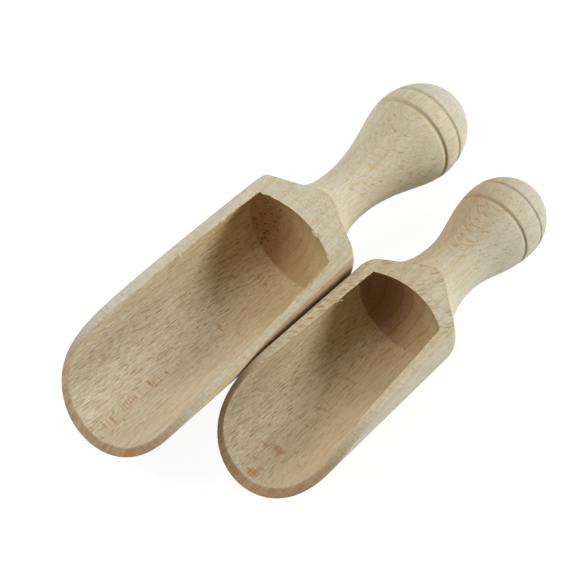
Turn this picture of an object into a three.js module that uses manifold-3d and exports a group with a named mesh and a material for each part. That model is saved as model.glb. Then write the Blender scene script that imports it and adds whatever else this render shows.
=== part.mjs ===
// A pair of turned beech spice scoops, one large and one small, lying side by side.
// Each scoop is a single piece of wood: a round blank turned with a bulb handle, bored
// from its open end and then cut away along a line that sweeps down to the tip.
// Millimetres, +Z up. Both axes run along Y, handles towards +Y. The origin is on the
// table, under the middle of the pair.

import * as THREE from 'three';
import { mergeVertices } from 'three/addons/utils/BufferGeometryUtils.js';
import Module from 'manifold-3d';

// Stations along a scoop count from the middle of its shoulder, where the round body
// slopes down to the neck: positive towards the knob, negative towards the tip.
const largeSizes = {
  bodyLength: 77.5, // shoulder to tip
  bodyRadius: 17.5,
  wall: 2.4, // around the bowl
  endWall: 8.6, // shoulder to the corner of the bowl's end wall
  endWallDish: 4.6, // how deep the end wall is dished
  shoulderStart: 4.2, // where the body begins to slope, before the shoulder
  shoulderFullness: 7.2, // how far the body keeps its girth before it slopes
  coveLength: 14, // shoulder to the narrowest part of the neck
  coveFullness: 17.2, // how early the slope hollows out into the neck
  neckRadius: 7.3,
  neckFullness: 14, // how far the neck runs on before the bulb swells
  knobFullness: 7.6, // how far the bulb keeps its girth before it narrows
  knobRadius: 13.5,
  knobRise: 16, // fullest part of the bulb to the end of the knob
  handleLength: 60, // shoulder to the end of the knob
  wideGroove: { fromEnd: 18.7, width: 1.3, depth: 0.5 },
  fineGroove: { fromEnd: 12.8, width: 0.9, depth: 0.3 },
  cutHeight: 8.3, // the cut above the axis, at the shoulder
  cutFall: 0.127, // how fast the straight cut falls towards the tip
  tipRun: 30.5, // the part of the cut that curves down to the tip
  tipSteepness: 1.65, // slope of the cut where it leaves the tip
  tipFullness: 0.82, // how far that curve reaches towards its corner
};

const smallSizes = {
  bodyLength: 62,
  bodyRadius: 16.1,
  wall: 2.25,
  endWall: 5.8,
  endWallDish: 4.2,
  shoulderStart: 4.1,
  shoulderFullness: 5.7,
  coveLength: 16,
  coveFullness: 17.2,
  neckRadius: 7.9,
  neckFullness: 7.7,
  knobFullness: 9,
  knobRadius: 11.8,
  knobRise: 12.8,
  handleLength: 51,
  wideGroove: { fromEnd: 17.4, width: 1.1, depth: 0.4 },
  fineGroove: { fromEnd: 10.6, width: 0.8, depth: 0.25 },
  cutHeight: 8.8,
  cutFall: 0.09,
  tipRun: 31,
  tipSteepness: 1.4,
  tipFullness: 0.73,
};

// How the pair lies: the gap between the bodies, and how much nearer to the knobs the
// small scoop's shoulder lies than the large one's.
const pairGap = 0.3;
const shoulderOffset = 3.2;

const beechColour = 0xc9bda3;
const beechRoughness = 0.72;

const turnSides = 48;
const cutterClearance = 2; // what a cutting shape reaches past the wood

const wasm = await Module();
wasm.setup();

function toSolid(geometry) {
  geometry.deleteAttribute('normal');
  geometry.deleteAttribute('uv');
  const merged = mergeVertices(geometry);
  const mesh = new wasm.Mesh({
    numProp: 3,
    vertProperties: new Float32Array(merged.attributes.position.array),
    triVerts: new Uint32Array(merged.index.array),
  });
  return new wasm.Manifold(mesh);
}

function toGeometry(solid) {
  const mesh = solid.getMesh();
  const geometry = new THREE.BufferGeometry();
  geometry.setAttribute('position', new THREE.BufferAttribute(mesh.vertProperties, 3));
  geometry.setIndex(new THREE.BufferAttribute(mesh.triVerts, 1));
  geometry.computeVertexNormals();
  return geometry;
}

function point(radius, station) {
  return new THREE.Vector2(radius, station);
}

function turned(outline) {
  return toSolid(new THREE.LatheGeometry(outline, turnSides));
}

// Height of the straight part of the cut above the axis.
function cutLine(sizes, station) {
  return sizes.cutHeight + sizes.cutFall * station;
}

// The turned outside from the tip, over the shoulder, neck and bulb, to the knob's end.
function blankOutline(sizes) {
  const bulbStation = sizes.handleLength - sizes.knobRise;
  const tipStation = -sizes.bodyLength - cutterClearance;
  const shoulder = new THREE.CubicBezierCurve(
    point(sizes.bodyRadius, -sizes.shoulderStart),
    point(sizes.bodyRadius, sizes.shoulderFullness - sizes.shoulderStart),
    point(sizes.neckRadius, sizes.coveLength - sizes.coveFullness),
    point(sizes.neckRadius, sizes.coveLength));
  const bulb = new THREE.CubicBezierCurve(
    point(sizes.neckRadius, sizes.coveLength),
    point(sizes.neckRadius, sizes.coveLength + sizes.neckFullness),
    point(sizes.knobRadius, bulbStation - sizes.knobFullness),
    point(sizes.knobRadius, bulbStation));
  const knob = new THREE.EllipseCurve(
    0, bulbStation, sizes.knobRadius, sizes.knobRise, 0, Math.PI / 2);
  return [
    point(0, tipStation),
    point(sizes.bodyRadius, tipStation),
    ...shoulder.getPoints(14),
    ...bulb.getPoints(13).slice(1),
    ...knob.getPoints(11).slice(1, -1),
    point(0, sizes.handleLength),
  ];
}

// Radius of the turned outside at a station on the handle.
function radiusAt(outline, station) {
  const after = outline.findIndex((p, i) => i > 1 && p.y >= station);
  const [a, b] = [outline[after - 1], outline[after]];
  return a.x + (b.x - a.x) * (station - a.y) / (b.y - a.y);
}

// The outline with a round-bottomed groove turned into the bulb.
function grooved(outline, sizes, groove) {
  const start = sizes.handleLength - groove.fromEnd - groove.width / 2;
  const end = start + groove.width;
  const floor = [-1, -0.5, 0, 0.5, 1].map((across) => {
    const station = start + (1 + across) * groove.width / 2;
    return point(radiusAt(outline, station) - groove.depth * (1 - across ** 2), station);
  });
  const before = outline.filter((p) => p.y < start);
  const after = outline.filter((p) => p.y > end);
  return [...before, ...floor, ...after];
}

// The bowl: a bore from the open end to a dished end wall that meets it in a sharp corner.
function bowlBore(sizes) {
  const radius = sizes.bodyRadius - sizes.wall;
  const dish = sizes.endWallDish;
  const dishRadius = (radius ** 2 + dish ** 2) / (2 * dish);
  const dishCentre = dish - sizes.endWall - dishRadius;
  const corner = Math.acos(radius / dishRadius);
  const endWall = new THREE.EllipseCurve(
    0, dishCentre, dishRadius, dishRadius, corner, Math.PI / 2);
  const mouthStation = -sizes.bodyLength - 2 * cutterClearance;
  return turned([
    point(0, mouthStation),
    point(radius, mouthStation),
    ...endWall.getPoints(6).slice(0, -1),
    point(0, dish - sizes.endWall),
  ]);
}

// Everything above the cut, seen from the side: straight from the neck along the rim,
// then sweeping down through the wall to the tip.
function cutAway(sizes) {
  const tip = point(-sizes.bodyLength, -sizes.bodyRadius);
  const bendStation = sizes.tipRun - sizes.bodyLength;
  const bend = point(bendStation, cutLine(sizes, bendStation));
  const cornerStation = (sizes.cutHeight - tip.y + sizes.tipSteepness * tip.x)
    / (sizes.tipSteepness - sizes.cutFall);
  const corner = point(cornerStation, cutLine(sizes, cornerStation));
  const bendHandle = bend.clone().lerp(corner, sizes.tipFullness);
  const tipHandle = tip.clone().lerp(corner, sizes.tipFullness);
  const farStation = tip.x - 2 * cutterClearance;
  const top = sizes.bodyRadius + cutterClearance;
  const side = new THREE.Shape();
  side.moveTo(sizes.coveLength, top);
  side.lineTo(sizes.coveLength, cutLine(sizes, sizes.coveLength));
  side.lineTo(bend.x, bend.y);
  side.bezierCurveTo(bendHandle.x, bendHandle.y, tipHandle.x, tipHandle.y, tip.x, tip.y);
  side.lineTo(farStation, tip.y + sizes.tipSteepness * (farStation - tip.x));
  side.lineTo(farStation, top);
  const reach = sizes.bodyRadius + cutterClearance;
  const slab = new THREE.ExtrudeGeometry(side, {
    depth: 2 * reach, bevelEnabled: false, curveSegments: 18 });
  const [x, y, z] = [new THREE.Vector3(1, 0, 0), new THREE.Vector3(0, 1, 0), new THREE.Vector3(0, 0, 1)];
  slab.translate(0, 0, -reach);
  slab.applyMatrix4(new THREE.Matrix4().makeBasis(y, z, x));
  return toSolid(slab);
}

// How far the table lies under the axis at the shoulder when these points of the
// outline touch it and the handle dips.
function drop(points, dip) {
  return Math.max(...points.map((p) => p.x * Math.cos(dip) + p.y * Math.sin(dip)));
}

// The bowl is hollow, so a scoop lies back on its shoulder and its bulb with the tip
// raised: the dip at which the table touches both, found by halving.
function restDip(outline, sizes) {
  const body = outline.filter((p) => p.y < sizes.coveLength);
  const bulb = outline.filter((p) => p.y >= sizes.coveLength);
  let low = 0;
  let high = Math.PI / 4;
  for (let step = 0; step < 40; step += 1) {
    const dip = (low + high) / 2;
    if (drop(bulb, dip) < drop(body, dip)) low = dip;
    else high = dip;
  }
  return low;
}

function scoop(name, sizes, x, y) {
  const blank = blankOutline(sizes);
  const outline = grooved(grooved(blank, sizes, sizes.wideGroove), sizes, sizes.fineGroove);
  const wood = turned(outline)
    .subtract(bowlBore(sizes))
    .subtract(cutAway(sizes));
  const beech = new THREE.MeshStandardMaterial({
    color: beechColour, roughness: beechRoughness, metalness: 0 });
  const mesh = new THREE.Mesh(toGeometry(wood), beech);
  const dip = restDip(outline, sizes);
  mesh.name = name;
  mesh.rotation.x = -dip;
  mesh.position.set(x, y, drop(outline, dip));
  return mesh;
}

const axisSpacing = largeSizes.bodyRadius + pairGap + smallSizes.bodyRadius;
const largeScoop = scoop('large_scoop', largeSizes, 0, 0);
const smallScoop = scoop('small_scoop', smallSizes, axisSpacing, shoulderOffset);

const scoopPair = new THREE.Group();
scoopPair.add(largeScoop, smallScoop);

// Bring the middle of the pair's footprint to the origin.
const box = new THREE.Box3().setFromObject(scoopPair, true);
const middle = box.getCenter(new THREE.Vector3());
scoopPair.position.set(-middle.x, -middle.y, -box.min.z);

export default scoopPair;
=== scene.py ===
import math
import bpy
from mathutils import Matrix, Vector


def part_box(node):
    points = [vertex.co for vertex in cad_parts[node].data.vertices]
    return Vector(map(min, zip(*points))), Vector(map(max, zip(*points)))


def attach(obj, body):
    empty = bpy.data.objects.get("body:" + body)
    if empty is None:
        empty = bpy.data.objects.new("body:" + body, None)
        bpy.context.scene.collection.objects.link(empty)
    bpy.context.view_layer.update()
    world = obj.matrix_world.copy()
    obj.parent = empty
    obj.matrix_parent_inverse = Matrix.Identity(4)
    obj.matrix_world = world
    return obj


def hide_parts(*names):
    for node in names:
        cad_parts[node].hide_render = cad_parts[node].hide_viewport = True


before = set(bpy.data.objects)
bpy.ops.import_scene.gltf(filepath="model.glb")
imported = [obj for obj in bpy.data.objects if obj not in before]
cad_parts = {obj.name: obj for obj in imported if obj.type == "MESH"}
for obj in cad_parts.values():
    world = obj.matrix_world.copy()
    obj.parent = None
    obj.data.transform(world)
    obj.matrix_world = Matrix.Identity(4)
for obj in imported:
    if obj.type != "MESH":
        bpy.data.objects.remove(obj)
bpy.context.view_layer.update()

from types import SimpleNamespace

import bpy
import numpy as np
from mathutils import Matrix, Vector

# Sizes of the two scoops in millimetres, as in the part's source. Stations count along a scoop
# from the middle of its shoulder, positive towards the knob. The bore and its end wall, the
# shoulder's corner and the grooves follow the photograph closer than the solids do.
LARGE = SimpleNamespace(
    node="large_scoop",
    body="large",
    body_length=77.5,  # shoulder to tip
    body_radius=17.5,
    wall=2.4,  # around the bowl
    bore_shift=0.3,  # how far the bore lies off the axis
    flare=0.75,  # how much thinner the wall is on the left of the tip
    end_wall=8.6,  # shoulder to the corner of the bowl's end wall
    end_wall_dish=4.4,  # how deep the end wall is dished
    end_wall_shift=0.8,  # how far it lies behind that place
    end_wall_turn=-0.065,  # how fast the shift grows towards +X
    end_wall_lean=0,  # how fast the shift grows upwards
    end_wall_rounding=0.5,  # between the bore and the end wall
    shoulder_start=4.2,  # where the body begins to slope, before the shoulder
    shoulder_fullness=7.2,  # how far the body keeps its girth before it slopes
    shoulder_corner=(17.3, -1.9),  # radius and station of its crisp corner
    slope_handle=(12.25, 1.5),  # radius and station that the curve to the neck first heads for
    cove_handle=(7.3, 2.5),  # radius and station that it then comes to the neck from
    cove_length=14,  # shoulder to the narrowest part of the neck
    cove_fullness=17.2,  # how early the slope hollows out into the neck
    neck_radius=7.3,
    neck_fullness=14,  # how far the neck runs on before the bulb swells
    knob_fullness=7.6,  # how far the bulb keeps its girth before it narrows
    knob_radius=13.5,
    knob_rise=16,  # fullest part of the bulb to the end of the knob
    handle_length=60,  # shoulder to the end of the knob
    grooves=((18.7, 1.8, 0.5), (12.8, 1.8, 0.36)),  # distance from the knob's end, width, depth
    cut_height=8.3,  # the cut above the axis, at the shoulder
    cut_fall=0.127,  # how fast the straight cut falls towards the tip
    tip_run=30.5,  # the part of the cut that curves down to the tip
    tip_steepness=1.65,  # slope of the cut where it leaves the tip
    tip_fullness=0.82,  # how far that curve reaches towards its corner
    tear=0.17,  # how ragged the bowl's edge is
    tear_from=-50,  # station where the tearing sets in
    # splinters: side (0 for the end wall), station or distance across, how many, length, spread
    tufts=((0, 6, 14, 1.5, 0.9), (0, 12.2, 5, 0.9, 0.4), (-1, -19, 5, 0.9, 1.2),
           (-1, -33.5, 5, 0.9, 0.6), (1, -16.5, 3, 0.6, 1.0), (1, -21.5, 3, 0.5, 0.8)),
    seed=4,
)
SMALL = SimpleNamespace(
    node="small_scoop",
    body="small",
    body_length=62,
    body_radius=16.1,
    wall=2.25,
    bore_shift=0.0,
    flare=0.85,
    end_wall=5.8,
    end_wall_dish=5.3,
    end_wall_shift=0.45,
    end_wall_turn=0,
    end_wall_lean=-0.056,
    end_wall_rounding=0.3,
    shoulder_start=4.1,
    shoulder_fullness=5.7,
    shoulder_corner=(15.97, -2.9),
    slope_handle=(13.05, 0.6),
    cove_handle=(7.9, 3.5),
    cove_length=16,
    cove_fullness=17.2,
    neck_radius=7.9,
    neck_fullness=7.7,
    knob_fullness=9,
    knob_radius=11.8,
    knob_rise=12.8,
    handle_length=51,
    grooves=((17.4, 1.6, 0.4), (10.6, 1.6, 0.32)),
    cut_height=8.8,
    cut_fall=0.09,
    tip_run=31,
    tip_steepness=1.4,
    tip_fullness=0.73,
    tear=0.05,
    tear_from=-40,
    tufts=((-1, -18, 2, 1.7, 0.3), (1, -9, 2, 0.6, 1.0)),
    seed=9,
)

MM = 0.001
CELL = 0.4  # spacing of the grid that the surface is found on
FINE_CELL = 0.2  # spacing along the scoop at the turned grooves
GRID_MARGIN = 1.5 * CELL
CORNERS = [(i, j, k) for i in (0, 1) for j in (0, 1) for k in (0, 1)]  # of a grid cell
LONGEST_MOVE = 0.3  # of a point towards the surface, in one step
LEAST_GRADIENT = 0.2  # squared, so that such a step stays short where the distance is flat
OUTLINE_POINTS = 120  # on each curve of the turned outline
EDGE_POINTS = 160  # on the curves of the cut and of the crisp cove
ROUNDING_POINTS = 16
OVERRUN = 5  # how far the outlines reach past the wood
CUT_OVERRUN = 6  # how far the cut's outline reaches past the tip
CUT_END = 10  # station on the neck where the cut has left the wood
CUT_ROUNDING = 0.06  # the edges are crisp, as the saw and a light sanding leave them
SHOULDER_ROUNDING = 0.9  # from the shoulder's corner to where its rounding begins
LIP_TO_NECK = 0.66  # shares of a groove's width, from its floor to either end
LIP_TO_KNOB = 0.36
TEAR_DEPTH = 0.4  # how far from the cut face the bowl's edge is torn
TEAR_RUN_IN = 25  # length over which the tearing sets in
TEAR_WAVES = 10
TEAR_LENGTHS = (0.9, 3.2)  # of the shortest and the longest wave
SPLINTER_SEED = 50  # added to a scoop's seed
SPLINTER_ROOT = 0.09  # half widths of a splinter
SPLINTER_TIP = 0.03
SPLINTER_DEPTH = 0.15  # how far its root lies in the wood
SPLINTER_FACES = (
    (0, 1, 2, 3), (7, 6, 5, 4), (4, 5, 1, 0), (5, 6, 2, 1), (6, 7, 3, 2), (7, 4, 0, 3))
LAYER_FADE = 0.35  # over which the bowl's and the cut face's looks fade out
EDGE_BAND = 0.45  # width of the darker line along the outer edge of the cut face
RIM_BAND = 0.3  # that line keeps this far away from the bowl
GROOVE_SHADE = 0.6  # share of a groove's width that gets painted shade, on each side of its floor


def bezier(a, b, c, d, count):
    t = np.linspace(0, 1, count)[:, None]
    a, b, c, d = (np.array(p, float) for p in (a, b, c, d))
    return (1 - t) ** 3 * a + 3 * t * (1 - t) ** 2 * b + 3 * t * t * (1 - t) * c + t ** 3 * d


def turned_outline(scoop):
    """Stations and radii of the turned outside, from the tip to the fullest part of the bulb."""
    bulb = scoop.handle_length - scoop.knob_rise
    shoulder = bezier(
        (scoop.body_radius, -scoop.shoulder_start),
        (scoop.body_radius, scoop.shoulder_fullness - scoop.shoulder_start),
        (scoop.neck_radius, scoop.cove_length - scoop.cove_fullness),
        (scoop.neck_radius, scoop.cove_length), OUTLINE_POINTS)
    swell = bezier(
        (scoop.neck_radius, scoop.cove_length),
        (scoop.neck_radius, scoop.cove_length + scoop.neck_fullness),
        (scoop.knob_radius, bulb - scoop.knob_fullness),
        (scoop.knob_radius, bulb), OUTLINE_POINTS)
    tip = (scoop.body_radius, -scoop.body_length - OVERRUN)
    points = np.concatenate([[tip], shoulder, swell[1:]])
    return points[:, 1], points[:, 0]


def crisp_outline(scoop):
    """The turned outline with the shoulder's corner as crisp as it is on the real scoops."""
    stations, radii = turned_outline(scoop)
    tip = (scoop.body_radius, -scoop.body_length - OVERRUN)
    body = np.array([scoop.body_radius, -scoop.shoulder_start])
    corner = np.array(scoop.shoulder_corner)
    neck = (scoop.neck_radius, scoop.cove_length)
    before = corner + SHOULDER_ROUNDING * (body - corner) / np.linalg.norm(body - corner)
    cove = bezier(corner, scoop.slope_handle, scoop.cove_handle, neck, EDGE_POINTS)
    cove = cove[np.linalg.norm(cove - corner, axis=1) > SHOULDER_ROUNDING]
    t = np.linspace(0, 1, ROUNDING_POINTS)[:, None]
    rounding = (1 - t) ** 2 * before + 2 * t * (1 - t) * corner + t * t * cove[0]
    points = np.concatenate([[tip, body], rounding, cove[1:]])
    swell = stations > scoop.cove_length
    return (np.concatenate([points[:, 1], stations[swell]]),
            np.concatenate([points[:, 0], radii[swell]]))


def cut_line(scoop, station):
    """Height of the straight part of the cut above the axis."""
    return scoop.cut_height + scoop.cut_fall * station


def cut_outline(scoop):
    """Stations and heights of the cut, from beyond the tip to beyond the knob."""
    tip = np.array([-scoop.body_length, -scoop.body_radius])
    bend_at = scoop.tip_run - scoop.body_length
    bend = np.array([bend_at, cut_line(scoop, bend_at)])
    corner_at = ((scoop.cut_height - tip[1] + scoop.tip_steepness * tip[0])
                 / (scoop.tip_steepness - scoop.cut_fall))
    corner = np.array([corner_at, cut_line(scoop, corner_at)])
    tip_handle = tip + (corner - tip) * scoop.tip_fullness
    bend_handle = bend + (corner - bend) * scoop.tip_fullness
    curve = bezier(tip, tip_handle, bend_handle, bend, EDGE_POINTS)
    before = tip - CUT_OVERRUN * np.array([1, scoop.tip_steepness])
    neck = np.array([CUT_END, cut_line(scoop, CUT_END)])
    beyond = np.array([scoop.handle_length + OVERRUN, neck[1] + scoop.handle_length])
    points = np.concatenate([[before], curve, [neck, beyond]])
    return points[:, 0], points[:, 1]


def end_wall_ball(scoop):
    """Radius of the bowl's dished end wall, and the station of its centre before the shift."""
    bore, dish = scoop.body_radius - scoop.wall, scoop.end_wall_dish
    radius = (bore ** 2 + dish ** 2) / (2 * dish)
    return radius, dish - scoop.end_wall - radius


def end_wall_shift(scoop, x, up):
    return scoop.end_wall_shift + scoop.end_wall_turn * x + scoop.end_wall_lean * up


def smooth_max(a, b, width):
    """The larger of two distances, with the edge between them rounded over the width."""
    near = np.maximum(width - np.abs(a - b), 0) / width
    return np.maximum(a, b) + near * near * width / 4


def smooth_step(low, high, value):
    t = np.clip((value - low) / (high - low), 0, 1)
    return t * t * (3 - 2 * t)


class Wood:
    """Distance from any point to the surface of one scoop, negative in the wood. Points are
    given in the scoop's own frame: across, along its axis as a station, and up."""

    def __init__(self, scoop):
        self.scoop = scoop
        self.stations, self.radii = crisp_outline(scoop)
        self.slopes = np.gradient(self.radii, self.stations)
        self.cut_stations, self.cut_heights = cut_outline(scoop)
        self.cut_slopes = np.gradient(self.cut_heights, self.cut_stations)
        chance = np.random.default_rng(scoop.seed)
        turns = chance.uniform(0, 2 * math.pi, TEAR_WAVES)
        rates = 2 * math.pi / chance.uniform(*TEAR_LENGTHS, TEAR_WAVES)
        self.waves = [(n * math.cos(t), n * math.sin(t), chance.uniform(0, 2 * math.pi))
                      for t, n in zip(turns, rates)]

    def torn(self, x, s, up):
        """How far the cutter tore the bowl's edge at the cut face: along the sides, and most in
        the left back corner."""
        scoop = self.scoop
        ragged = sum(np.sin(a * x + b * s + c) for a, b, c in self.waves) / TEAR_WAVES ** 0.5
        near = np.exp(-(self.above_cut(x, s, up) / TEAR_DEPTH) ** 2)
        begun = smooth_step(scoop.tear_from, scoop.tear_from + TEAR_RUN_IN, s)
        at_sides = smooth_step(9, 12, np.abs(x))
        in_corner = np.exp(-((x + 12) ** 2 + (s + 6) ** 2) / 4)
        where = 0.15 + 0.85 * at_sides + 1.5 * in_corner
        return scoop.tear * np.clip(ragged, -0.4, 1.8) * near * begun * where

    def outside(self, x, s, up):
        scoop = self.scoop
        rho = np.hypot(x, up)
        slope = np.interp(s, self.stations, self.slopes)
        turned = (rho - np.interp(s, self.stations, self.radii)) / np.sqrt(1 + slope ** 2)
        bulb = scoop.handle_length - scoop.knob_rise
        past = np.maximum(s - bulb, 0)
        a, b = scoop.knob_radius, scoop.knob_rise
        k0 = np.sqrt((rho / a) ** 2 + (past / b) ** 2)
        k1 = np.sqrt((rho / a ** 2) ** 2 + (past / b ** 2) ** 2) + 1e-9
        distance = np.where(s > bulb, k0 * (k0 - 1) / k1, turned)
        for from_end, width, depth in scoop.grooves:
            off = s - (scoop.handle_length - from_end)
            off = off / np.where(off < 0, LIP_TO_NECK * width, LIP_TO_KNOB * width)
            distance = distance + depth * np.cos(np.clip(off, -1, 1) * math.pi / 2) ** 2
        return distance

    def above_cut(self, x, s, up):
        """The cut is the same all the way across."""
        slope = np.interp(s, self.cut_stations, self.cut_slopes)
        return (up - np.interp(s, self.cut_stations, self.cut_heights)) / np.sqrt(1 + slope ** 2)

    def in_bowl(self, x, s, up):
        scoop = self.scoop
        bore = scoop.body_radius - scoop.wall
        rho = np.hypot(x - scoop.bore_shift, up)
        at_left = smooth_step(0.2, 0.9, -x / bore)
        at_tip = smooth_step(-0.56 * scoop.body_length, -0.88 * scoop.body_length, s)
        side = bore + scoop.flare * at_left * at_tip - rho
        radius, centre = end_wall_ball(scoop)
        along = np.maximum(s - centre - end_wall_shift(scoop, x, up), 0)
        end = np.where(along > 0, radius - np.hypot(rho, along), radius)
        return -smooth_max(-side, -end, scoop.end_wall_rounding) + self.torn(x, s, up)

    def surfaces(self):
        return self.outside, self.above_cut, self.in_bowl

    def parts(self, x, s, up):
        return [surface(x, s, up) for surface in self.surfaces()]

    def distance(self, x, s, up):
        outside, above, hollow = self.parts(x, s, up)
        return smooth_max(smooth_max(outside, above, CUT_ROUNDING), hollow, CUT_ROUNDING)


def gradient(function, p, step=0.01):
    g = np.empty_like(p)
    for axis in range(3):
        d = np.zeros(3)
        d[axis] = step
        g[:, axis] = (function(*(p + d).T) - function(*(p - d).T)) / (2 * step)
    return g


def grid_axes(scoop):
    """Grid lines across, along and up, with finer steps along the scoop at the grooves."""
    reach = scoop.body_radius + GRID_MARGIN
    low = (-reach, -scoop.body_length - GRID_MARGIN, -reach)
    high = (reach, scoop.handle_length + GRID_MARGIN, scoop.knob_radius + GRID_MARGIN)
    across, along, up = (np.arange(a, b + CELL, CELL) for a, b in zip(low, high))
    for from_end, width, _ in scoop.grooves:
        middle = scoop.handle_length - from_end
        fine = np.arange(middle - width, middle + width, FINE_CELL)
        along = np.sort(np.concatenate([along[np.abs(along - middle) > width], fine]))
    return across, along, up


def in_cells(axes, cells, shares):
    """Points in grid cells, at shares of the cells' widths."""
    return np.stack([lines[n] + share * (lines[n + 1] - lines[n])
                     for lines, n, share in zip(axes, cells.T, shares.T)], 1)


def first_points(wood, axes, grid, cells):
    """The middle of the places where the surface crosses each cell's edges, and which of the
    wood's three surfaces it crosses there."""
    values = np.stack([grid[tuple((cells + c).T)] for c in CORNERS], 1)
    total, crossings = np.zeros((len(cells), 3)), np.zeros(len(cells))
    faces_met = np.zeros((len(cells), 3), bool)
    for m, a in enumerate(CORNERS):
        for n, b in enumerate(CORNERS):
            along = np.subtract(b, a)
            if m > n or np.abs(along).sum() != 1:
                continue
            crossed = np.flatnonzero((values[:, m] < 0) != (values[:, n] < 0))
            t = values[crossed, m] / (values[crossed, m] - values[crossed, n])
            met = np.array(a) + t[:, None] * along
            total[crossed] += met
            crossings[crossed] += 1
            parts = wood.parts(*in_cells(axes, cells[crossed], met).T)
            faces_met[crossed, np.argmax(np.stack(parts), 0)] = True
    return in_cells(axes, cells, total / crossings[:, None]), faces_met


def settle(wood, points):
    """Moves points onto the surface."""
    for _ in range(3):
        g = gradient(wood.distance, points)
        step = wood.distance(*points.T) / np.maximum((g * g).sum(1), LEAST_GRADIENT)
        points -= np.clip(step, -LONGEST_MOVE, LONGEST_MOVE)[:, None] * g


def snap_to_edges(wood, points, faces_met):
    """Moves points at the edges of the cut face onto those edges, and tells which they are."""
    on_edge = np.zeros(len(points), bool)
    outside, above, hollow = range(3)
    for pair in ((outside, above), (above, hollow)):
        surfaces = [wood.surfaces()[n] for n in pair]
        pick = np.flatnonzero(faces_met[:, pair].all(1))
        on_edge[pick] = True
        for _ in range(4):
            p = points[pick]
            f = np.stack([surface(*p.T) for surface in surfaces], 1)
            g = np.stack([gradient(surface, p) for surface in surfaces], 1)
            square = np.einsum("nik,njk->nij", g, g) + 1e-4 * np.eye(2)
            shares = np.linalg.solve(square, f[:, :, None])[:, :, 0]
            move = np.einsum("nik,ni->nk", g, shares)
            points[pick] = p - np.clip(move, -LONGEST_MOVE, LONGEST_MOVE)
    return on_edge


def quads_between(inside, number):
    """A quad across each grid edge that leaves the wood, between the four cells around it."""
    quads = []
    for axis in range(3):
        first = [slice(1, -1)] * 3
        first[axis] = slice(0, -1)
        second = list(first)
        second[axis] = slice(1, None)
        starts, ends = inside[tuple(first)], inside[tuple(second)]
        at = np.argwhere(starts != ends) + [0 if n == axis else 1 for n in range(3)]
        outward = inside[tuple(at.T)]
        b, c = (axis + 1) % 3, (axis + 2) % 3
        ring = []
        for db, dc in ((-1, -1), (0, -1), (0, 0), (-1, 0)):
            cell = at.copy()
            cell[:, b] += db
            cell[:, c] += dc
            ring.append(number[tuple(cell.T)])
        ring = np.stack(ring, 1)
        ring[~outward] = ring[~outward][:, ::-1]
        quads.append(ring)
    return np.concatenate(quads)


def surface_of(wood):
    """Points and quads of a closed surface around the wood, with one point in each grid cell
    that it crosses, and which points lie on an edge of the cut face."""
    axes = grid_axes(wood.scoop)
    grid = wood.distance(*np.meshgrid(*axes, indexing="ij", sparse=True)).astype(np.float32)
    inside = grid < 0
    count = sum(inside[tuple(slice(o, size - 1 + o) for o, size in zip(c, inside.shape))]
                .astype(np.int8) for c in CORNERS)
    cells = np.argwhere((count > 0) & (count < len(CORNERS)))
    points, faces_met = first_points(wood, axes, grid, cells)
    settle(wood, points)
    on_edge = snap_to_edges(wood, points, faces_met)
    number = np.full(count.shape, -1, np.int32)
    number[tuple(cells.T)] = np.arange(len(cells))
    return points, quads_between(inside, number), on_edge


def corner_normals(wood, points, quads, on_edge):
    """Normals of the true surface at each quad's corners. Beside a crisp edge they belong to
    the quad's own face, so they are taken a little further in."""
    corners = gradient(wood.distance, points)[quads]
    beside = np.flatnonzero(on_edge[quads].any(1))
    at = points[quads[beside]]
    further_in = at + 0.35 * (at.mean(1, keepdims=True) - at)
    corners[beside] = gradient(wood.distance, further_in.reshape(-1, 3)).reshape(-1, 4, 3)
    corners /= np.linalg.norm(corners, axis=2, keepdims=True)
    return corners.reshape(-1, 3)


def inner_edge(scoop, side, at):
    """A point of the bowl's edge on the cut face: at a station on a side rim, or for side 0 at
    a distance across on the end wall."""
    if side:
        up = cut_line(scoop, at)
        across = math.sqrt((scoop.body_radius - scoop.wall) ** 2 - up ** 2)
        return np.array([side * across + scoop.bore_shift, at, up])
    radius, centre = end_wall_ball(scoop)
    station = -scoop.end_wall
    for _ in range(4):
        up = cut_line(scoop, station)
        bulge = math.sqrt(radius ** 2 - at ** 2 - up ** 2)
        station = centre + end_wall_shift(scoop, at, up) + bulge
    return np.array([at, station, up])


def splinters(scoop):
    """Closed, tapered splinters that stand off the bowl's torn edge: points, quads, normals."""
    chance = np.random.default_rng(scoop.seed + SPLINTER_SEED)
    points, quads = [], []
    for side, at, count, length, spread in scoop.tufts:
        for _ in range(count):
            root = inner_edge(scoop, side, at + chance.uniform(-spread, spread))
            root = root - [0, 0, SPLINTER_DEPTH]
            from_edge = np.array([-0.5 * side, 0 if side else 0.5, 0.35])
            lean = chance.normal(0, 1, 3) * [0.8, 0.8, 0.25] + from_edge
            lean /= np.linalg.norm(lean)
            tip = root + lean * length * chance.uniform(0.6, 1.2)
            across = np.cross(lean, [0.3, 0.5, 0.8])
            across /= np.linalg.norm(across)
            other = np.cross(lean, across)
            ring = np.array([across + other, other - across, -across - other, across - other])
            quads += [[len(points) + n for n in face] for face in SPLINTER_FACES]
            points += [*(root + SPLINTER_ROOT * ring), *(tip + SPLINTER_TIP * ring)]
    points, quads = np.array(points), np.array(quads)
    a, b, c, d = (points[quads[:, n]] for n in range(4))
    flat = np.cross(c - a, d - b)
    flat /= np.linalg.norm(flat, axis=1, keepdims=True)
    return points, quads, np.repeat(flat, 4, axis=0)


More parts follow.
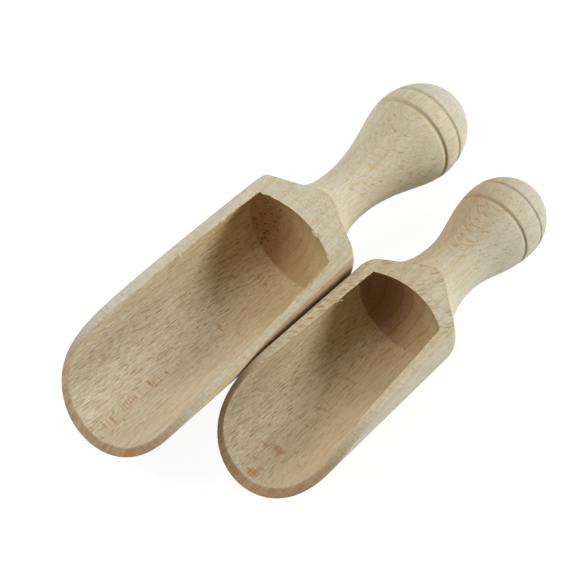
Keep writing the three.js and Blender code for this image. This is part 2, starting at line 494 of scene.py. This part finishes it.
def resting_place(scoop):
    """Where the middle of a scoop's shoulder lies, in metres, and the dip of its handle when the
    scoop lies on its shoulder and bulb, found by halving."""
    stations, radii = turned_outline(scoop)
    turn = np.linspace(0, math.pi / 2, 60)
    knob = scoop.handle_length - scoop.knob_rise * (1 - np.sin(turn))
    stations = np.concatenate([stations, knob])
    radii = np.concatenate([radii, scoop.knob_radius * np.cos(turn)])
    body = stations < scoop.cove_length
    least, most = 0.0, math.pi / 4
    for _ in range(40):
        dip = (least + most) / 2
        drop = radii * math.cos(dip) + stations * math.sin(dip)
        if drop[~body].max() < drop[body].max():
            least = dip
        else:
            most = dip
    reach = (radii * math.sin(dip) + stations * math.cos(dip)).max()
    low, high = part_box(scoop.node)
    place = Vector(((low[0] + high[0]) / 2, high[1] - reach * MM, drop.max() * MM))
    return place, dip


def wood_layers(wood, points, hair):
    """What the materials need at each point: how far it belongs to the bowl, the cut face, a
    groove, a splinter or the cut face's outer edge."""
    scoop = wood.scoop
    outside, above, hollow = wood.parts(*points.T)
    bowl = smooth_step(-LAYER_FADE, 0.0, hollow - np.maximum(outside, above)) * (1 - hair)
    cut = smooth_step(-LAYER_FADE, 0.0, above - np.maximum(outside, hollow))
    groove = np.zeros(len(points))
    for from_end, width, _ in scoop.grooves:
        off = np.abs(points[:, 1] - scoop.handle_length + from_end)
        groove = np.maximum(groove, 1 - off / (GROOVE_SHADE * width))
    off_bowl = hollow < np.maximum(outside, above) - RIM_BAND
    edge = smooth_step(EDGE_BAND, 0.0, np.abs(outside - above)) * off_bowl
    return {"bowl": bowl, "cut": cut, "groove": groove, "hair": hair, "edge": edge}


def make_scoop(scoop, material):
    wood = Wood(scoop)
    points, quads, on_edge = surface_of(wood)
    normals = corner_normals(wood, points, quads, on_edge)
    hairs, hair_quads, hair_normals = splinters(scoop)
    hair = np.repeat([0.0, 1.0], [len(points), len(hairs)])
    quads = np.concatenate([quads, hair_quads + len(points)])
    points = np.concatenate([points, hairs])
    normals = np.concatenate([normals, hair_normals])
    place, dip = resting_place(scoop)
    turn = np.array(Matrix.Rotation(-dip, 3, "X"))
    mesh = bpy.data.meshes.new(scoop.node + "_wood")
    mesh.from_pydata((points @ turn.T * MM + np.array(place)).tolist(), [], quads.tolist())
    mesh.polygons.foreach_set("use_smooth", [True] * len(mesh.polygons))
    for name, values in wood_layers(wood, points, hair).items():
        layer = mesh.attributes.new(name, "FLOAT", "POINT")
        layer.data.foreach_set("value", values.astype(np.float32))
    grain = mesh.attributes.new("grain", "FLOAT_VECTOR", "POINT")
    grain.data.foreach_set("vector", points.astype(np.float32).ravel())
    mesh.normals_split_custom_set((normals @ turn.T).tolist())
    mesh.materials.append(material)
    piece = bpy.data.objects.new(scoop.node + "_wood", mesh)
    bpy.context.scene.collection.objects.link(piece)
    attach(piece, scoop.body)
    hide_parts(scoop.node)


class Pattern:
    """Adds linked shader nodes to a material. An input is a number, a colour or a socket."""

    def __init__(self, name, seed=0.0):
        self.material = bpy.data.materials.new(name)
        self.material.use_nodes = True
        self.nodes = self.material.node_tree.nodes
        self.links = self.material.node_tree.links
        self.seed = seed

    def fill(self, socket, value):
        if isinstance(value, bpy.types.NodeSocket):
            self.links.new(value, socket)
        else:
            socket.default_value = value

    def add(self, kind, sockets, **settings):
        node = self.nodes.new("ShaderNode" + kind)
        for key, value in settings.items():
            setattr(node, key, value)
        for socket, value in sockets.items():
            self.fill(node.inputs[socket], value)
        return node

    def math(self, operation, a, b=0.0):
        return self.add("Math", {0: a, 1: b}, operation=operation).outputs[0]

    def plus(self, a, b):
        return self.math("ADD", a, b)

    def minus(self, a, b):
        return self.math("SUBTRACT", a, b)

    def times(self, product, *others):
        for other in others:
            product = self.math("MULTIPLY", product, other)
        return product

    def without(self, value):
        return self.minus(1.0, value)

    def vector(self, operation, a, b=(0, 0, 0)):
        return self.add("VectorMath", {0: a, 1: b}, operation=operation).outputs

    def parts(self, vector):
        return self.add("SeparateXYZ", {0: vector}).outputs

    def ramp(self, value, low, high, start=0.0, end=1.0):
        sockets = {"Value": value, "From Min": low, "From Max": high, "To Min": start, "To Max": end}
        return self.add("MapRange", sockets, interpolation_type="SMOOTHSTEP").outputs[0]

    def stretched(self, vector, size, salt):
        """Coordinates in which a feature of this size, in millimetres across, along and thick,
        is one unit long each way. The salt keeps patterns apart."""
        start = self.seed + salt
        scale = tuple(1 / length for length in size)
        place = (start, 2.3 * start, 4.1 * start)
        return self.add("Mapping", {"Vector": vector, "Location": place, "Scale": scale}).outputs[0]

    def clouds(self, vector, size, salt, detail=2.0, roughness=0.5):
        vector = self.stretched(vector, size, salt)
        return self.add("TexNoise", {"Vector": vector, "Scale": 1.0, "Detail": detail,
                                     "Roughness": roughness}).outputs

    def noise(self, *settings):
        return self.clouds(*settings)["Fac"]

    def lenses(self, vector, size, salt, rim, core, rare=-1.0, common=0.0):
        """Scattered lenses that are full within the core and fade out to the rim. Each has a
        chance of 0 to 1, and shows the more the further that lies from rare to common."""
        vector = self.stretched(vector, size, salt)
        cells = self.add("TexVoronoi", {"Vector": vector, "Scale": 1.0}).outputs
        chance = self.add("SeparateColor", {0: cells["Color"]}).outputs[0]
        return self.times(self.ramp(cells["Distance"], rim, core), self.ramp(chance, rare, common))

    def mix(self, amount, a, b, blend="MIX"):
        node = self.add("Mix", {}, data_type="RGBA", blend_type=blend)
        a, b = ((*c, 1) if isinstance(c, tuple) else c for c in (a, b))
        for socket, value in ((0, amount), (6, a), (7, b)):
            self.fill(node.inputs[socket], value)
        return node.outputs[2]


# Tints that both scoops share. A tint multiplies the wood's colour.
TINTS = SimpleNamespace(
    late_wood=(0.92, 0.86, 0.78),
    knob=(0.98, 1.03, 1.14),
    # painted shade on the right of the knob
    knob_right_shade=(0.92, 0.91, 0.88),
    # painted shade on the right and the back right of the bowl
    bowl_right_shade=(0.925, 0.915, 0.91),
    bowl_back_right_shade=(0.87, 0.90, 0.89),
    line=(0.90, 0.855, 0.80),
    streak=(0.74, 0.65, 0.55),
    fuzz=(0.86, 0.83, 0.79),
    sheet=(0.965, 0.94, 0.90),
    saw_mark=(0.93, 0.90, 0.85),
    ray=(0.84, 0.64, 0.44),
    fine_ray=(0.80, 0.60, 0.43),
    dash=(0.81, 0.61, 0.42),
    dense_dash=(0.74, 0.55, 0.40),
    grip_dash=(0.72, 0.61, 0.45),
    arc=(0.84, 0.70, 0.52),
    # dark pits: real, and darker with painted shade inside them
    pore=(0.46, 0.36, 0.26),
    bowl_fleck=(0.83, 0.58, 0.38),
    handle_fleck=(0.95, 0.75, 0.49),
    # painted shade on the right of the tips
    tip_right_shade=(0.95, 0.86, 0.80),
    tip_line=(0.86, 0.80, 0.74),
    wall_ring=(0.84, 0.80, 0.74),
    wall_line=(0.93, 0.91, 0.88),
    chatter=(0.45, 0.36, 0.27),
    edge=(0.86, 0.74, 0.58),
    # painted shade in the grooves
    groove=(0.72, 0.60, 0.44),
)
SPLINTER_COLOUR = (0.78, 0.71, 0.57)
RING_SPACING = 3.6
RING_CURVE = 0.012  # how fast the rings bend away from the middle of the trunk
TRUNK_TILT = math.radians(4)  # of the trunk's grain against the scoop
DASH_SLANT = math.radians(33)  # of the rays that the cut face slices
ARC_BOW = 0.2  # how fast the arcs on the handle bend towards the knob


class Beech(Pattern):
    """Bare beech as a solid pattern in a scoop's own frame. The radial direction of the trunk
    lies across the scoop, so the rays show as dashes along the walls and as bars across the
    bottom of the bowl and the handle."""

    def __init__(self, looks):
        super().__init__(looks.name, looks.seed)
        self.looks = looks
        self.place = self.add("Attribute", {}, attribute_name="grain").outputs["Vector"]
        self.across, self.station, _ = self.parts(self.place)
        self.bowl, self.cut, self.groove, self.hair, self.edge = (
            self.add("Attribute", {}, attribute_name=name).outputs["Fac"]
            for name in ("bowl", "cut", "groove", "hair", "edge"))
        self.outer = self.without(self.bowl)
        self.left = self.ramp(self.across, 3.0, -6.0)
        self.rim_left = self.times(
            self.outer, self.ramp(self.across, -9, -13), self.ramp(self.station, -4, -12))
        self.facing = self.parts(self.add("NewGeometry", {}).outputs["Normal"])
        self.end_grain = self.ramp(self.math("ABSOLUTE", self.facing[1]), 0.3, 0.85)
        self.find_trunk()
        self.grow_rings()
        self.tone_outside()
        self.tone_bowl()
        self.lay_fibres()
        self.lay_rays()
        self.slice_rays()
        self.bow_rays()
        self.open_pores()
        self.mark_flecks()
        self.show_end_grain()
        self.darken_edges_and_shade_grooves()
        self.finish_surface()

    def stain(self, tint, *amounts):
        """Multiplies the colour by a tint, as far as the product of the amounts says."""
        self.colour = self.mix(self.times(*amounts), self.colour, tint, "MULTIPLY")

    def handle(self, start, full, fade, end):
        """The part of the handle that fades in from start to full and out from fade to end. The
        last two stations count from where the knob's tint begins."""
        knob = self.looks.knob
        return self.times(self.ramp(self.station, start, full),
                          self.ramp(self.station, knob + end, knob + fade))

    def find_trunk(self):
        """Places in the trunk, whose grain wanders and lies at a small angle to the scoop."""
        wander = self.clouds(self.place, (40, 90, 40), 0, 1.0)["Color"]
        wander = self.vector("SUBTRACT", wander, (0.5, 0.5, 0.5))[0]
        wander = self.vector("MULTIPLY", wander, (5, 0, 3))[0]
        bent = self.vector("ADD", self.place, wander)[0]
        lie = (TRUNK_TILT, math.radians(self.looks.turn), 0)
        self.trunk = self.add("Mapping", {"Vector": bent, "Rotation": lie}).outputs[0]

    def grow_rings(self):
        """Where in its year the wood grew, and how far it is the year's late, darker wood."""
        radial, _, up = self.parts(self.trunk)
        wander = self.times(self.noise(self.trunk, (7, 60, 30), 3), 7.0)
        year = self.plus(self.plus(radial, self.times(up, up, RING_CURVE)), wander)
        self.rings = self.math("FRACT", self.times(year, 1 / RING_SPACING))
        self.late = self.times(self.ramp(self.rings, 0.4, 0.96), self.ramp(self.rings, 1.0, 0.96))

    def tone_outside(self):
        looks, across, station = self.looks, self.across, self.station
        drift = self.noise(self.trunk, (9, 70, 14), 5, 3.0, 0.6)
        self.colour = self.mix(self.ramp(drift, 0.3, 0.7), looks.pale, looks.tan)
        sap = self.ramp(self.plus(across, self.times(drift, 8.0)), -6.0, 12.0)
        body = self.ramp(station, 0, -6)
        knob = self.ramp(station, looks.knob, looks.knob + 8)
        self.stain(looks.heart, self.without(sap), self.outer)
        self.stain(looks.outer, self.outer)
        self.stain(looks.handle, self.ramp(station, 3, 9))
        # Painted shade on the left of the bulb; on the small scoop it stands for the large scoop's
        # shadow.
        self.stain(looks.bulb_left, self.handle(14, 26, -3, 3), self.ramp(across, -2, -8))
        # Painted light on the large scoop's walls that face +X, lifting the shade beside the small
        # scoop; painted shade on the small scoop's.
        self.stain(looks.side, self.outer, self.ramp(self.facing[0], 0.5, 0.9), body)
        self.stain(looks.right, self.outer, self.ramp(across, 9, 14), body)
        self.stain(looks.rim_left, self.rim_left)
        self.stain(TINTS.late_wood, self.late, self.plus(self.times(self.cut, 0.35), 0.4))
        self.stain(TINTS.knob, knob)
        # Painted shade on the right of the knob.
        self.stain(TINTS.knob_right_shade, knob, self.ramp(across, 1, 7))

    def tone_bowl(self):
        looks, across, station = self.looks, self.across, self.station
        back_right = self.times(self.ramp(station, -32, -16), self.ramp(across, 0, 8))
        self.stain(looks.bowl, self.bowl)
        self.stain(looks.bowl_left, self.bowl, self.left)
        # Painted shade: warmer towards the back of the bowl, darker on its right and back right.
        self.stain(looks.bowl_back, self.bowl, self.ramp(station, -42, -12))
        self.stain(TINTS.bowl_right_shade, self.bowl, self.ramp(across, -6, 5))
        self.stain(TINTS.bowl_back_right_shade, self.bowl, back_right)

    def lay_fibres(self):
        """Long lines and short streaks along the grain and a fine fuzz, coarser where the bowl
        was bored, and saw marks on the cut face."""
        self.lines = self.noise(self.trunk, (0.34, 26, 0.34), 7, 2.0, 0.6)
        streak = self.noise(self.trunk, (0.2, 6.5, 0.2), 8, 1.0)
        self.streak = self.ramp(streak, 0.52, 0.65)
        self.fuzz = self.noise(self.trunk, (0.17, 1.3, 0.17), 9, 1.0)
        sheets = self.noise(self.trunk, (5, 9, 0.4), 10, 2.0, 0.6)
        saw = self.noise(self.place, (24, 0.5, 24), 12, 2.0, 0.6)
        bored = self.times(self.bowl, self.ramp(self.across, 8, -5, 0.35, 0.85))
        coarse = self.plus(bored, 0.25)
        self.stain(TINTS.line, self.ramp(self.lines, 0.35, 0.68))
        self.stain(TINTS.streak, self.streak, coarse)
        self.stain(TINTS.fuzz, self.ramp(self.fuzz, 0.32, 0.68), coarse)
        self.stain(TINTS.sheet, self.ramp(sheets, 0.46, 0.64), self.outer)
        self.stain(TINTS.saw_mark, self.ramp(saw, 0.45, 0.68), self.cut)

    def lay_rays(self):
        """Flat lenses along the radial direction, and finer ones along the grain."""
        ray = self.lenses(self.trunk, (3.2, 1.5, 0.5), 11, 0.36, 0.2, 0.55, 0.95)
        crowd = self.ramp(self.noise(self.trunk, (9, 14, 7), 13), 0.38, 0.62, 0.15, 1.0)
        fine = self.lenses(self.trunk, (1.0, 3.6, 0.36), 15, 0.3, 0.12, 0.5, 0.95)
        self.stain(TINTS.ray, ray, crowd, self.without(self.times(self.cut, 0.8)), 0.8)
        self.stain(TINTS.fine_ray, fine, 0.65)

    def slice_rays(self):
        """Dashes where the cut face and the right of the handle slice the rays at a slant,
        denser on the left rim."""
        looks, across, station = self.looks, self.across, self.station
        turned = {"Vector": self.place, "Rotation": (0, 0, DASH_SLANT)}
        slant = self.add("Mapping", turned).outputs[0]
        dash = self.lenses(slant, (0.7, 4.0, 3.0), 21, 0.44, 0.2, 0.0, 0.7)
        dense = self.lenses(slant, (0.55, 2.6, 3.0), 25, 0.46, 0.24, 0.05, 0.65)
        grip = self.lenses(slant, (0.75, 3.4, 0.8), 27, 0.36, 0.16, 0.35, 0.9)
        on_cut = self.times(self.cut, self.ramp(station, -44, -30), looks.dashes)
        rim_right = self.times(self.ramp(across, 6, 10), self.ramp(station, -4, -12))
        self.stain(TINTS.dash, dash, on_cut, self.without(self.times(rim_right, 0.65)))
        self.stain(TINTS.dense_dash, dense, on_cut, self.rim_left)
        self.stain(TINTS.grip_dash, grip, self.ramp(across, 0, 5), self.handle(12, 18, -6, -2),
                   looks.grip)

    def bow_rays(self):
        """Nested arcs where the handle slices the rays, open towards the knob."""
        off = self.minus(self.across, self.looks.arcs_at)
        bowed = self.minus(self.station, self.times(off, off, ARC_BOW))
        bowed = self.add("CombineXYZ", {0: self.across, 1: bowed, 2: self.seed}).outputs[0]
        arc = self.ramp(self.noise(bowed, (4.0, 0.45, 9), 31, 1.0), 0.5, 0.66)
        near = self.ramp(self.math("ABSOLUTE", off), 5.5, 2.5)
        self.stain(TINTS.arc, arc, near, self.handle(10, 16, -4, -1), self.looks.arcs)

    def open_pores(self):
        """Short dark dashes, most on the left wall of the bowl: real pits, darkened partly with
        painted shade.
        """
        pore = self.lenses(self.trunk, (0.5, 4.4, 0.29), 17, 0.33, 0.13, 0.38, 0.9)
        bored = self.times(self.bowl, self.left, 0.95)
        self.pits = self.times(pore, self.plus(bored, self.ramp(self.station, 30, 20, 0.05, 0.17)))
        self.stain(TINTS.pore, self.pits)

    def mark_flecks(self):
        """The single flecks that stand out in the photograph: bars across the grain."""
        looks = self.looks
        rough = self.noise(self.place, (0.5, 0.3, 0.5), 19, 1.0)
        for flecks, lean, tint in ((looks.bowl_flecks, 0, TINTS.bowl_fleck),
                                   (looks.handle_flecks, looks.handle_lean, TINTS.handle_fleck)):
            marks = 0.0
            for station, across, half_length, half_width, strength in flecks:
                spot = {"Vector": self.place, "Location": (across, station, 0),
                        "Rotation": (0, 0, lean), "Scale": (half_width, half_length, 1e6)}
                spot = self.add("Mapping", spot, vector_type="TEXTURE").outputs[0]
                far = self.plus(self.vector("LENGTH", spot)["Value"], rough)
                mark = self.ramp(far, 1.8, 1.2, 0.0, min(1.0, 1.15 * strength))
                marks = self.math("MAXIMUM", marks, mark)
            self.stain(tint, marks)

    def show_end_grain(self):
        """End grain looks browner at the tips and the bowls' end walls, and ring lines show. The
        left of the tips gets painted light, their right and the left of the end walls painted shade.
        """
        looks, across, late = self.looks, self.across, self.late
        tip = self.times(self.end_grain, self.outer, self.ramp(self.station, -20, -30))
        lines = self.noise(self.trunk, (0.5, 9, 5), 29, 2.0, 0.6)
        self.stain(looks.tip, tip, self.ramp(late, 0.2, 0.9, 0.8, 1.0))
        # Painted light on the left of the tip, lifting the small scoop's tip out of the large one's
        # shadow; painted shade on its right.
        self.stain(looks.tip_left, tip, self.ramp(across, -2, -10))
        self.stain(TINTS.tip_right_shade, tip, self.ramp(across, 2, 10))
        self.stain(TINTS.tip_line, tip, self.ramp(lines, 0.42, 0.66))
        wall = self.times(self.end_grain, self.bowl, self.ramp(self.station, -20, -15))
        ring = self.times(self.ramp(self.rings, 0.74, 0.95), self.ramp(self.rings, 1.0, 0.96))
        chatter = self.lenses(self.place, (1.5, 5.0, 1.0), 23, 0.36, 0.16)
        self.stain(looks.end_wall, wall, self.ramp(late, 0.2, 0.9, 0.7, 1.0))
        # Painted shade on the left of the end wall, below the left rim.
        self.stain(looks.end_wall_left, wall, self.ramp(across, looks.end_wall_from, -8))
        self.stain(TINTS.wall_ring, wall, ring, looks.ring_lines)
        self.stain(TINTS.wall_line, wall, self.ramp(self.lines, 0.45, 0.62))
        self.stain(TINTS.chatter, wall, chatter, self.ramp(across, -3, -7), looks.chatter)

    def darken_edges_and_shade_grooves(self):
        self.stain(TINTS.edge, self.edge, 0.45)
        # Painted shade in the grooves.
        self.stain(TINTS.groove, self.ramp(self.groove, 0.0, 0.8), 0.4)

    def finish_surface(self):
        shader = self.nodes["Principled BSDF"].inputs
        height = self.minus(self.times(self.fuzz, 0.4), self.times(self.pits, 1.5))
        height = self.minus(height, self.times(self.streak, 0.4))
        bump = self.add("Bump", {"Height": height, "Distance": 0.06 * MM, "Strength": 0.7})
        self.fill(shader["Base Color"], self.mix(self.hair, self.colour, SPLINTER_COLOUR))
        self.fill(shader["Roughness"], self.ramp(self.fuzz, 0.3, 0.7, 0.62, 0.8))
        self.fill(shader["Specular IOR Level"], 0.35)
        self.fill(shader["Normal"], bump.outputs[0])


# Looks of the two scoops: two wood colours, tints for the places that their names tell, and how
# strong some patterns are. Each fleck has a station, a distance across, a half length along the
# scoop, a half width and a strength.
LARGE_LOOKS = SimpleNamespace(
    name="beech_large",
    seed=1.0,
    turn=3,  # of the trunk about the scoop's axis, in degrees
    pale=(0.69, 0.66, 0.525),
    tan=(0.66, 0.615, 0.472),
    heart=(1.01, 1.02, 1.03),
    outer=(0.965, 0.955, 0.935),
    handle=(1.0, 1.0, 1.0),
    # the bulb's left tint is painted shade
    bulb_left=(1.0, 0.98, 0.95),
    # side: painted light on the walls that face +X, beside the small scoop
    side=(1.2, 1.09, 1.03),
    right=(0.95, 0.92, 0.88),
    rim_left=(1.04, 1.06, 1.11),
    bowl=(1.12, 1.05, 0.98),
    bowl_left=(1.03, 1.09, 1.10),
    # the bowl's back tint is painted warm shade
    bowl_back=(1.11, 1.01, 0.88),
    tip=(0.97, 0.76, 0.59),
    # the tip's left tint is painted light
    tip_left=(1.04, 1.02, 1.0),
    end_wall=(0.97, 0.96, 0.89),
    # the end wall's left tint is painted shade
    end_wall_left=(0.81, 0.66, 0.62),
    end_wall_from=10,  # distance across where the left tint of the end wall begins
    knob=44,  # station where the knob's tint begins
    dashes=0.15,
    grip=1.0,
    arcs=0.36,
    arcs_at=-1.2,  # distance across of the arcs' middle
    ring_lines=0.3,
    chatter=1.0,
    handle_lean=0.75,  # of the handle's flecks, in radians
    bowl_flecks=(
        (-31.6, 0.7, 0.25, 0.9, 1.0), (-32.2, 1.5, 0.28, 1.3, 1.0), (-36.8, 4.6, 0.35, 0.4, 0.6),
        (-43.4, 4.9, 0.4, 0.4, 0.4), (-45.6, 4.7, 0.4, 0.4, 0.5), (-46.3, 1.3, 0.2, 0.6, 0.4),
        (-47.6, 1.3, 0.22, 0.7, 0.6), (-51.2, 1.0, 0.35, 0.6, 1.0), (-51.0, 1.7, 0.2, 0.9, 0.6),
        (-53.7, 1.4, 0.22, 1.0, 0.5), (-55.6, 1.2, 0.22, 1.0, 0.6), (-56.4, 0.6, 0.25, 1.1, 0.8),
        (-60.0, 0.6, 0.18, 0.9, 0.5), (-61.6, 0.5, 0.18, 1.0, 0.6), (-62.5, 0.5, 0.18, 1.0, 0.6),
        (-63.4, 0.5, 0.18, 1.1, 0.7), (-64.3, 0.6, 0.18, 1.1, 0.7), (-65.2, 0.6, 0.18, 1.0, 0.6),
        (-66.0, 0.4, 0.18, 0.9, 0.6), (-70.0, 1.4, 0.4, 1.5, 0.75), (-71.3, 1.1, 0.28, 1.1, 0.5),
        (-72.5, 0.9, 0.35, 1.1, 0.7), (-75.2, 2.9, 0.4, 0.5, 0.6)),
    handle_flecks=(
        (43.9, 4.2, 0.7, 0.8, 0.55), (39.3, 4.0, 0.3, 0.9, 0.45), (37.3, 5.7, 0.3, 1.0, 0.45),
        (21.6, 2.0, 0.35, 1.3, 0.7), (16.7, 3.4, 0.4, 0.9, 0.65), (12.3, 2.1, 0.6, 0.4, 0.6),
        (13.9, 4.7, 0.3, 0.8, 0.5), (27.8, 6.5, 0.3, 0.9, 0.7), (29.5, 6.2, 0.25, 0.9, 0.6),
        (30.0, 8.9, 0.4, 0.5, 0.6)),
)
SMALL_LOOKS = SimpleNamespace(
    name="beech_small",
    seed=6.0,
    turn=7,
    pale=(0.645, 0.622, 0.49),
    tan=(0.612, 0.572, 0.432),
    heart=(0.93, 0.85, 0.75),
    outer=(1.0, 1.0, 1.0),
    handle=(0.96, 0.96, 0.965),
    # the bulb's left tint is the painted shadow of the large scoop's knob
    bulb_left=(0.94, 0.90, 0.86),
    # side: painted shade on the walls that face +X
    side=(0.92, 0.93, 0.97),
    right=(1.0, 0.99, 0.96),
    rim_left=(0.98, 1.0, 1.0),
    bowl=(1.16, 1.03, 0.92),
    bowl_left=(0.98, 1.05, 1.07),
    # the bowl's back tint is painted warm shade
    bowl_back=(1.13, 1.08, 1.0),
    tip=(0.94, 0.69, 0.50),
    # the tip's left tint is painted light
    tip_left=(1.32, 1.30, 1.34),
    end_wall=(0.98, 0.94, 0.89),
    # the end wall's left tint is painted shade
    end_wall_left=(0.49, 0.36, 0.37),
    end_wall_from=6,
    knob=36,
    dashes=1.0,
    grip=0.8,
    arcs=0.8,
    arcs_at=-1.8,
    ring_lines=0.85,
    chatter=0.0,
    handle_lean=0.25,
    bowl_flecks=(
        (-21.5, 0.5, 0.4, 0.9, 0.4), (-21.2, 1.7, 0.3, 0.7, 0.35), (-22.0, 5.8, 1.0, 0.35, 0.45),
        (-27.4, -1.3, 0.6, 0.8, 0.35), (-32.5, 2.4, 0.25, 1.0, 0.5), (-32.9, 1.5, 0.22, 1.0, 0.5),
        (-33.4, 1.0, 0.22, 0.9, 0.5), (-33.6, 0.1, 0.3, 0.3, 0.8), (-34.6, 1.5, 0.22, 0.9, 0.4),
        (-46.9, 5.1, 0.6, 0.5, 0.7), (-49.2, 1.3, 0.8, 1.9, 0.6), (-50.7, -2.2, 0.35, 0.9, 0.5),
        (-51.0, 4.4, 0.9, 0.45, 0.5), (-55.2, -1.3, 0.35, 0.5, 0.7), (-57.6, 1.3, 0.36, 1.4, 0.6),
        (-58.4, 0.9, 0.42, 1.7, 0.85), (-59.2, 0.8, 0.36, 1.4, 0.65)),
    handle_flecks=(
        (37.5, -4.0, 0.4, 1.0, 0.6), (37.2, -0.6, 0.4, 1.0, 0.5), (33.0, -3.0, 0.25, 1.1, 0.45),
        (30.5, -4.9, 0.35, 1.0, 0.6), (28.8, -3.2, 0.25, 1.1, 0.5), (27.1, -0.2, 0.3, 1.1, 0.5),
        (26.5, -2.9, 0.3, 1.1, 0.6), (24.4, -3.0, 0.25, 1.0, 0.5), (22.5, -3.2, 0.25, 1.0, 0.55),
        (21.0, -3.4, 0.35, 1.0, 0.7), (20.6, 0.1, 0.3, 1.3, 0.6), (16.9, -2.2, 0.4, 0.8, 0.6)),
)

# The photograph's view, fitted to the scoops' edges, in millimetres and degrees. The target lies
# beside the middle of the large scoop's shoulder and above the table.
ELEVATION, AZIMUTH, ROLL = (math.radians(a) for a in (62.82, 31.72, 12.85))
DISTANCE = 343.7
TARGET_ACROSS, TARGET_ALONG, TARGET_HEIGHT = 8.75, -14.38, 10
FOCAL_PIXELS, IMAGE_PIXELS = 1324.55, 585
SENSOR_WIDTH = 36
# name, azimuth and elevation in degrees, and power in watts of each lamp
LAMPS = (("back", 60, 30, 10), ("back_right", 30, 12, 4.8), ("side_high", 210, 50, 3.9),
         ("side_low", 210, 30, 4.3), ("top", 180, 70, 3))
LAMP_DISTANCE = 1.2  # in metres, like the lamps' and the floor's sizes
LAMP_SIZE = 0.4
WORLD_STRENGTH = 0.03
FLOOR_REACH = 3
PAPER_COLOUR = (0.9, 0.9, 0.9, 1)
PAPER_GLOW = 1.05
PAPER_GLOW_SHARE = 0.9


def paper():
    """Pale and matt, so that it keeps the soft shadow, and lifted to white where it is seen."""
    p = Pattern("paper")
    p.nodes.remove(p.nodes["Principled BSDF"])
    path = p.add("LightPath", {}).outputs
    seen = p.math("MAXIMUM", path["Is Camera Ray"], path["Is Glossy Ray"])
    seen = p.math("MAXIMUM", seen, path["Is Transmission Ray"])
    matt = p.add("BsdfDiffuse", {"Color": PAPER_COLOUR}).outputs[0]
    glow = p.add("Emission", {"Strength": PAPER_GLOW}).outputs[0]
    both = p.add("MixShader", {0: p.times(seen, PAPER_GLOW_SHARE), 1: matt, 2: glow}).outputs[0]
    p.fill(p.nodes["Material Output"].inputs["Surface"], both)
    return p.material


def make_floor():
    r = FLOOR_REACH
    mesh = bpy.data.meshes.new("floor")
    mesh.from_pydata([(-r, -r, 0), (r, -r, 0), (r, r, 0), (-r, r, 0)], [], [(0, 1, 2, 3)])
    mesh.materials.append(paper())
    floor = bpy.data.objects.new("floor", mesh)
    bpy.context.scene.collection.objects.link(floor)


def direction(azimuth, elevation):
    return Vector((math.cos(azimuth) * math.cos(elevation),
                   math.sin(azimuth) * math.cos(elevation), math.sin(elevation)))


def make_camera():
    shoulder, _ = resting_place(LARGE)
    target = Vector((shoulder.x + TARGET_ACROSS * MM, shoulder.y + TARGET_ALONG * MM,
                     TARGET_HEIGHT * MM))
    back = direction(AZIMUTH - math.pi / 2, ELEVATION)
    level = direction(AZIMUTH, 0)
    right = math.cos(ROLL) * level + math.sin(ROLL) * back.cross(level)
    turn = Matrix((right, back.cross(right), back)).transposed()
    lens = bpy.data.cameras.new("camera")
    lens.sensor_width = SENSOR_WIDTH
    lens.lens = FOCAL_PIXELS / IMAGE_PIXELS * SENSOR_WIDTH
    lens.clip_start = 0.01
    camera = bpy.data.objects.new("camera", lens)
    camera.matrix_world = Matrix.Translation(target + back * DISTANCE * MM) @ turn.to_4x4()
    bpy.context.scene.collection.objects.link(camera)
    bpy.context.scene.camera = camera


def make_lamps():
    for name, azimuth, elevation, power in LAMPS:
        light = bpy.data.lights.new(name, "AREA")
        light.shape = "DISK"
        light.size = LAMP_SIZE
        light.energy = power
        lamp = bpy.data.objects.new(name, light)
        lamp.location = LAMP_DISTANCE * direction(math.radians(azimuth), math.radians(elevation))
        lamp.rotation_euler = (-lamp.location).to_track_quat("-Z", "Y").to_euler()
        bpy.context.scene.collection.objects.link(lamp)


def make_world():
    world = bpy.data.worlds.new("studio")
    world.use_nodes = True
    background = world.node_tree.nodes["Background"].inputs
    background["Color"].default_value = (1, 1, 1, 1)
    background["Strength"].default_value = WORLD_STRENGTH
    bpy.context.scene.world = world
    bpy.context.scene.view_settings.view_transform = "Standard"


make_scoop(LARGE, Beech(LARGE_LOOKS).material)
make_scoop(SMALL, Beech(SMALL_LOOKS).material)
make_floor()
make_camera()
make_lamps()
make_world()
